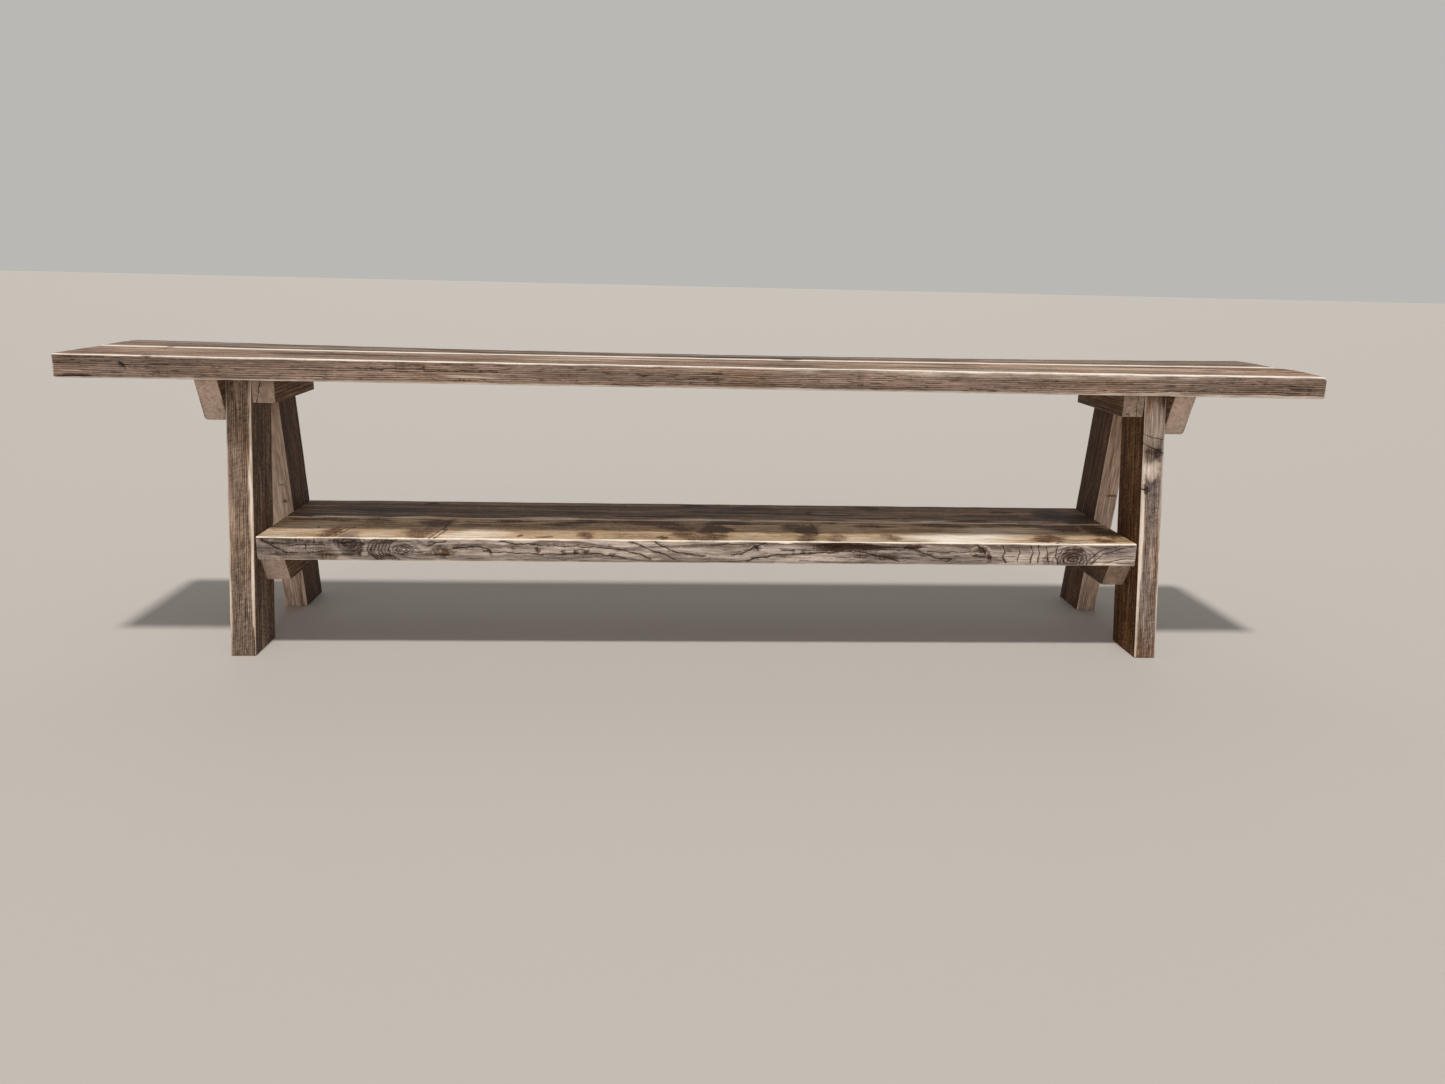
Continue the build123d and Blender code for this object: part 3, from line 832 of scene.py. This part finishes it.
# Marks on the back board's top, in millimetres from its left end and its own front edge
back_shelf_marks = {
    "worn": [
        (90, 4, 60, 5, 0.8), (205, 4, 45, 5, 0.8), (420, 5, 80, 6, 0.8), (640, 6, 70, 6, 0.85),
        (760, 5, 50, 5, 0.7), (930, 8, 60, 6, 0.7), (1020, 8, 40, 6, 0.85), (1170, 10, 70, 6, 0.6),
        (150, 26, 90, 6, 0.3), (330, 100, 120, 8, 0.25), (900, 55, 90, 12, 0.3), (560, 50, 100, 14, 0.2),
    ],
    "stain_and_painted_shade": [
        (205, 100, 14, 10, 0.9), (120, 60, 110, 30, 0.45), (640, 105, 26, 11, 0.9), (825, 60, 6, 9, 0.8),
        (930, 100, 24, 16, 0.8), (1155, 80, 20, 9, 0.9), (1250, 50, 50, 60, 0.7), (580, 22, 60, 7, 0.75),
        (1160, 30, 70, 8, 0.6), (740, 85, 60, 16, 0.55), (420, 75, 90, 16, 0.4), (1090, 14, 30, 8, 0.7),
    ],
    "crack": [
        (1.6, (510, 22), (600, 24), (640, 26)), (1.4, (455, 8), (500, 10)), (1.3, (360, 18), (400, 20)),
        (1.3, (20, 4), (40, 3)), (1.2, (670, 50), (760, 56)), (1.4, (1160, 4), (1215, 5)),
    ],
}
straight = ((1, 0, 0), (0, 1, 0), (0, 0, 1))


def board(node, steps, arrises, end_arris, crown, dips, corners, edge_marks, top_marks, greys, zones=()):
    """A board's places, faces and finish. Its edge marks lie on its front and its top marks on its top,
    with a faint soaked band beside each crack, by a low power of how near it is. greys holds how grey its
    sides and its top are. Its top rises by the crown, a height for each end and the middle, times the sine
    of a power of the share across, and sinks by the dips, for its front, middle and back, times one less
    the squared distance from mid-length. Towards an end it drops as the corner's quarter circle does, and
    in the zones the mesh is finer along the board."""
    low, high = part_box(node)
    side_z = high.z - max(crown)
    seed = sum(node.encode())
    box = (tuple(low), (high.x, high.y, side_z))
    extra = [low.x + place * MM for start, end in zones for place in np.arange(start, end, zone_step)]
    places, ways, faces = timber(box, straight, steps, arrises, end_arris, seed, (), extra)
    a, across, up = places[:, 0] - low.x, places[:, 1] - low.y, places[:, 2] - low.z
    front, top = towards(ways, 1, -1), towards(ways, 2, 1)
    upper = up > (side_z - low.z) / 2
    arris = turned(ways, 1, 2) * np.where(upper, 1.0, 0.6 + 0.35 * ripple(places, seed, (0.08, 1, 1)))
    ends = np.maximum(turned(ways, 0, 1), turned(ways, 0, 2))
    finish = {
        "worn": np.maximum(arris, 0.65 * ends),
        "stain_and_painted_shade": np.zeros(len(places)),
        "crack": np.zeros(len(places)),
    }
    for facing, b, marks in ((front, up, edge_marks), (top, across, top_marks)):
        near, beside = strokes(a, b, marks.get("crack", []))
        finish["crack"] = np.maximum(finish["crack"], facing * near)
        finish["beside"] = np.where(facing < 0.5, finish.get("beside", far_beside), beside)
        stain_and_painted_shade = np.maximum(0.35 * near ** 0.3, spots(a, b, marks.get("stain_and_painted_shade", [])))
        finish["stain_and_painted_shade"] = np.maximum(finish["stain_and_painted_shade"], facing * stain_and_painted_shade)
        finish["worn"] = np.maximum(finish["worn"], facing * spots(a, b, marks.get("worn", [])))
    finish["worn"] *= 1 - 0.8 * np.clip(finish["stain_and_painted_shade"] * (1 - arris), 0, 1)
    uneven = 0.25 * (ripple(places, seed, (0.3, 0.1, 0.1)) - 0.5)
    finish["grey"] = greys[0] + (greys[1] - greys[0]) * top + uneven
    depth = board_wear * ripple(places, seed, (0.12, 0.05, 0.05)) + crack_depth * finish["crack"]
    places -= ways * (depth * np.where(up < 0.2 * MM, 0.3, 1))[:, None]
    share_along = np.clip(a / (high.x - low.x), 0, 1)
    share_across = np.clip(across / (high.y - low.y), 0, 1)
    rise = np.interp(share_along, (0, 0.5, 1), crown) * np.sin(np.pi * share_across ** 1.35)
    rise -= np.interp(share_across, (0, 0.5, 1), dips) * (1 - (2 * share_along - 1) ** 2)
    for corner, way_in in zip(corners, (a, high.x - low.x - a)):
        share_in = 0.96 * np.clip(1 - way_in / corner, 0, 1)
        rise -= corner * (1 - np.sqrt(1 - share_in ** 2))
    places[:, 2] += rise * np.clip(up / (side_z - low.z), 0, 1)
    return places, faces, finish


def knot(node, face, along, off_edge, squash, lean, reach, tightness, core, darkness):
    """A knot on a board's edge or its top, by its place from the board's left end and from the edge's
    underside or the top's front. Its branch goes on into the board. Distances along the board count times
    squash, with lean more to the right and less to the left. Its rings lie tightness times as close as the
    wood's and end at its reach, and its core is dark."""
    low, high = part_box(node)
    if face == "edge":
        centre, shape = (low.x + along * MM, low.y, low.z + off_edge * MM), (squash, 0.25, 1)
    else:
        centre, shape = (low.x + along * MM, low.y + off_edge * MM, high.z), (squash, 1, 0.25)
    return centre, shape, (lean, 0, 0), reach * MM, tightness, core * MM, darkness


# The front board's heart line is in the wood near its back, which gives its edge steep wandering rings
node = "front_shelf_board"
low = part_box(node)[0]
knots = [knot(node, "edge", *values) for values in (
    (132, 26, 0.7, 0, 18, 1.0, 17, 0.7), (208, 17, 0.42, 0.1, 16, 0.9, 3, 0.2),
    (722, 23, 0.8, 0, 7, 1.3, 3.5, 0.9), (1202, 9, 0.55, 0.05, 20, 1.0, 15, 0.65),
    (1064, 23, 0.7, 0, 9, 1.2, 5, 0.6))]
places, faces, finish = board(
    node, front_shelf_steps, shelf_arrises, shelf_end_arris, level, level, shelf_corners, shelf_edge_marks,
    shelf_top_marks, (1.25, 0.3), knot_zones)
heart = (low.y + 105 * MM, low.z + 4 * MM)
material = old_softwood(node, straight[:2], heart, 3.6 * MM, shelf_tones, knots, warp=1.3, bands=1.3)
solid_piece(node, places, faces, material, finish)

# The back board's heart line is below it
node = "back_shelf_board"
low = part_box(node)[0]
knots = [knot(node, "top", *values) for values in (
    (205, 100, 0.8, 0, 12, 1.5, 8, 0.9), (640, 105, 0.8, 0, 14, 1.5, 10, 0.9),
    (930, 100, 0.8, 0, 14, 1.5, 10, 0.8), (1155, 80, 0.7, 0, 12, 1.5, 8, 0.9))]
places, faces, finish = board(
    node, board_steps, shelf_arrises, shelf_end_arris, level, level, shelf_corners, {}, back_shelf_marks,
    (0.75, 0.5))
heart = (low.y + 50 * MM, low.z - 70 * MM)
material = old_softwood(
    node, straight[:2], heart, 3.4 * MM, back_shelf_tones_with_painted_shade, knots, warp=1.2, bands=2.2, streaks=1.5)
solid_piece(node, places, faces, material, finish)


# SEAT
# Two long boards side by side on the cleats and the leg tops. Their edges show fine straight grain, and
# their tops are crowned and sanded, with a worn groove where the two meet.
seat_tones = {
    "early": "ba977a", "late": "573b2c", "grey": "ab9180", "grey_late": "3f2f27", "dash": "3b2a21",
    "sanded": "dabda2", "pale_and_painted_highlight": "fff4e7", "stain_and_painted_shade": "75645a", "stain_pale": "a99a8e",
    "knot": "4d392f", "knot_late": "261b17", "crack": "20150f",
}
# Marks on the front board's edge and top, and on the back board's top, placed as those on the shelf. The
# long pale bands along the top front arris and the joint, and those on the tops, are wear with a painted
# highlight and sheen
seat_edge_marks = {
    "worn": [
        (900, 0.5, 1500, 2.6, 0.85), (1300, 28, 420, 7, 0.42), (1500, 31.5, 400, 3.5, 0.85),
        (565, 11, 45, 2.5, 0.6), (960, 27, 160, 5, 0.3), (1600, 2, 260, 3, 0.6), (1200, 28, 60, 1.8, 0.4),
        (330, 3, 40, 1.5, 0.5),
    ],
    "stain_and_painted_shade": [
        (93, 18, 5, 5, 0.5), (30, 3, 30, 2, 0.75), (127, 32, 7, 3, 0.8), (1112, 16, 7, 10, 0.35),
        (876, 15, 16, 2.5, 0.5), (700, 14, 25, 10, 0.25), (550, 6, 22, 2, 0.5), (1706, 18, 6, 12, 0.3),
        (1770, 18, 26, 12, 0.3), (150, 9, 40, 5, 0.2), (1640, 8, 60, 3, 0.3), (800, 12, 12, 8, 0.3),
    ],
    "crack": [
        (1.6, (91, 21), (97, 15)), (1.0, (8, 2), (52, 3)), (0.7, (498, 18), (600, 19)),
        (0.8, (866, 14), (915, 14)), (0.7, (10, 28), (70, 29)), (0.7, (760, 4), (815, 2)),
        (0.7, (420, 19), (500, 21)), (0.7, (460, 25), (500, 26)),
    ],
}
seat_top_marks = {
    "worn": [
        (900, 129, 1500, 3, 0.4), (760, 95, 130, 14, 0.9), (700, 58, 100, 9, 0.75),
        (1180, 70, 90, 11, 0.75), (1500, 58, 170, 10, 0.7), (1400, 98, 150, 9, 0.65),
        (1650, 60, 60, 10, 0.5), (100, 98, 90, 9, 0.6), (300, 22, 200, 8, 0.35), (1300, 12, 300, 8, 0.5),
        (1600, 40, 180, 12, 0.45),
    ],
    "stain_and_painted_shade": [
        (900, 60, 1500, 300, 0.27), (370, 70, 110, 16, 1.1), (432, 66, 20, 8, 1.3), (60, 22, 80, 10, 0.7),
        (1000, 40, 90, 18, 0.6), (880, 62, 120, 12, 0.6), (1282, 106, 60, 9, 1.1),
        (1750, 70, 80, 18, 0.5), (1250, 35, 80, 12, 0.45), (200, 60, 80, 20, 0.4),
        (600, 40, 90, 12, 0.45), (1600, 92, 90, 14, 0.45), (1028, 124, 12, 7, 0.9), (100, 125, 6, 8, 0.8),
        (125, 4, 8, 6, 0.7),
    ],
    "crack": [(1.4, (396, 72), (440, 80)), (1.2, (90, 118), (112, 100)), (1.2, (322, 112), (345, 104))],
}
back_seat_tones = {
    "early": "a98c74", "late": "5f4636", "grey": "9b8473", "grey_late": "4a3a2f", "dash": "3f3027",
    "sanded": "c9b098", "pale_and_painted_highlight": "f3e6d4", "stain_and_painted_shade": "78665a", "stain_pale": "a5958a",
    "knot": "54443b", "knot_late": "2a201b", "crack": "1c1511",
}
back_seat_marks = {
    "worn": [
        (900, 1, 1500, 6, 1), (300, 40, 200, 14, 0.4), (1450, 45, 200, 18, 0.4), (650, 30, 100, 10, 0.4),
    ],
    "stain_and_painted_shade": [
        (900, 60, 1500, 300, 0.26), (965, 22, 160, 17, 1.1), (1028, 5, 16, 8, 1.4),
        (1283, 45, 60, 7, 1.0), (100, 4, 6, 8, 0.95), (490, 55, 50, 14, 0.9), (540, 40, 60, 10, 0.7),
        (600, 20, 110, 13, 0.8), (960, 95, 160, 16, 0.9), (1130, 100, 90, 14, 0.9),
        (700, 65, 120, 12, 0.8), (1300, 75, 120, 12, 0.7), (250, 85, 120, 14, 0.45),
        (1600, 80, 120, 16, 0.5),
    ],
    "crack": [(1.4, (100, 10), (112, 36)), (1.2, (600, 70), (720, 66)), (1.3, (1450, 50), (1520, 54))],
}
seat_end_arris = 3.5 * MM
# The heart line of each seat board is well below it, so its edges show straight grain
node = "front_seat_board"
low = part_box(node)[0]
arrises = ((3 * MM, 5 * MM), (3 * MM, 3 * MM))
crown, dips, corners = (0.4 * MM, 0.6 * MM, 2 * MM), (1.4 * MM, 2 * MM, 2.6 * MM), (2 * MM, 9 * MM)
knots = [knot(node, "top", 430, 68, 0.5, 0, 12, 1.3, 7, 0.8)]
places, faces, finish = board(
    node, board_steps, arrises, seat_end_arris, crown, dips, corners, seat_edge_marks, seat_top_marks,
    (0.8, 0.45))
heart = (low.y + 70 * MM, low.z - 110 * MM)
material = old_softwood(
    node, straight[:2], heart, 2.5 * MM, seat_tones, knots, warp=0.55, bands=1.4, streaks=0.9)
solid_piece(node, places, faces, material, finish)

node = "back_seat_board"
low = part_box(node)[0]
arrises = ((3 * MM, 4 * MM), (3 * MM, 5 * MM))
crown, dips, corners = (0.5 * MM, 0.6 * MM, 0.7 * MM), (2.6 * MM, 4.2 * MM, 6.5 * MM), (2 * MM, 6 * MM)
knots = [knot(node, "top", *values) for values in (
    (480, 55, 0.7, 0, 16, 1.5, 10, 0.8), (960, 95, 0.5, 0, 20, 1.4, 14, 0.8),
    (1130, 100, 0.5, 0, 16, 1.4, 11, 0.8))]
places, faces, finish = board(
    node, board_steps, arrises, seat_end_arris, crown, dips, corners, {}, back_seat_marks, (0.8, 0.75))
heart = (low.y + 30 * MM, low.z - 60 * MM)
material = old_softwood(node, straight[:2], heart, 3.4 * MM, back_seat_tones, knots, bands=1.7)
solid_piece(node, places, faces, material, finish)


# STAGE
# A plain pale floor, a soft light all round, a lamp high up in front, whose light the seat keeps from all
# of the shelf but its front, and two weaker, broader ones that fill in from the front and the back.
floor_reach = 30
floor_mesh = bpy.data.meshes.new("floor")
floor_corners = [(x * floor_reach, y * floor_reach, 0) for x, y in ((-1, -1), (1, -1), (1, 1), (-1, 1))]
floor_mesh.from_pydata(floor_corners, [], [(0, 1, 2, 3)])
floor = bpy.data.objects.new("floor", floor_mesh)
floor_material, add = new_material("floor")
floor_look = {"Base Color": colour("c2bab1"), "Roughness": 0.8}
add("OutputMaterial", {"Surface": add("BsdfPrincipled", floor_look)})
floor_mesh.materials.append(floor_material)
bpy.context.scene.collection.objects.link(floor)

world = bpy.data.worlds.new("studio")
world.use_nodes = True
bpy.context.scene.world = world
world.node_tree.nodes.clear()
add = node_adder(world.node_tree)
# The backdrop shows to the camera and in metal and glass, and everything else gets the soft light
rays = add("LightPath", {}).node.outputs
seen = add("Math", {0: rays["Is Camera Ray"], 1: rays["Is Glossy Ray"]}, operation="MAXIMUM")
seen = add("Math", {0: seen, 1: rays["Is Transmission Ray"]}, operation="MAXIMUM")
light = add("Background", {"Color": (1.0, 1.0, 1.0, 1), "Strength": 0.22})
backdrop = add("Background", {"Color": colour("b9b8b5"), "Strength": 1.0})
add("OutputWorld", {"Surface": add("MixShader", {0: seen, 1: light, 2: backdrop})})

# Each lamp's strength, its spread, and how far it is turned from overhead to the front, in degrees
lamps = {"key": (2.16, 5, 14), "front_fill": (0.88, 50, 78), "back_fill": (0.4, 60, -60)}
for name, (strength, spread, from_overhead) in lamps.items():
    sun = bpy.data.lights.new(name, "SUN")
    sun.energy = strength
    sun.angle = np.radians(spread)
    lamp = bpy.data.objects.new(name, sun)
    lamp.rotation_euler = (np.radians(from_overhead), 0, 0)
    bpy.context.scene.collection.objects.link(lamp)

# The camera, by the bench's own corners in the photograph: focal length in pixels, place and turns
photo_width = 1445
sensor_width = 36
focal_pixels = 1072.5
camera_place = (-0.074, -1.6525, 0.5603)
yaw, pitch, roll = 0.0621, 0.2511, -0.0242
forward = np.array([np.sin(yaw) * np.cos(pitch), np.cos(yaw) * np.cos(pitch), -np.sin(pitch)])
right = np.array([np.cos(yaw), -np.sin(yaw), 0])
down = np.cross(forward, right)
right, down = (np.cos(roll) * right + np.sin(roll) * down, np.cos(roll) * down - np.sin(roll) * right)
camera_data = bpy.data.cameras.new("camera")
camera_data.sensor_width = sensor_width
camera_data.lens = focal_pixels / photo_width * sensor_width
camera = bpy.data.objects.new("camera", camera_data)
facing = Matrix((right, -down, -forward)).transposed().to_4x4()
facing.translation = camera_place
camera.matrix_world = facing
bpy.context.scene.collection.objects.link(camera)
bpy.context.scene.camera = camera
bpy.context.scene.view_settings.view_transform = "Standard"
